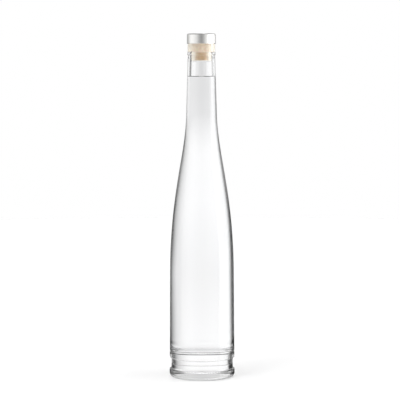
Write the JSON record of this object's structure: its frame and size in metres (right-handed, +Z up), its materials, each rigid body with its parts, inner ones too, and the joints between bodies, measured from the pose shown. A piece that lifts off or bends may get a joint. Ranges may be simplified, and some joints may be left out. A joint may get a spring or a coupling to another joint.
{
  "type": "liquor bottle",
  "caption": "Tall slim clear glass spirits bottle with a long neck, recessed waist over a thick foot, clear liquor inside and a metal-topped cork stopper.",
  "frame": {"origin": "on the ground at the bottle's axis", "axes": "+Z up along the bottle's axis from the foot to the stopper, +X to the right seen from the front, -Y towards the viewer"},
  "size_m": [0.066, 0.066, 0.346],
  "materials": {
    "glass": "polished",
    "liquor": "polished",
    "cap_metal": "satin",
    "disc_plastic": "satin",
    "cork": "matte"
  },
  "bodies": {
    "bottle_body": {"bottle": "glass", "liquor": "liquor"},
    "stopper": {"cap_shell": "cap_metal", "head_disc": "disc_plastic", "cork_shank": "cork"}
  },
  "joints": [
    {"name": "stopper_pull", "type": "slide", "parent": "bottle_body", "child": "stopper", "axis": [0, 0, 1], "range_m": [0, 0.04]}
  ]
}
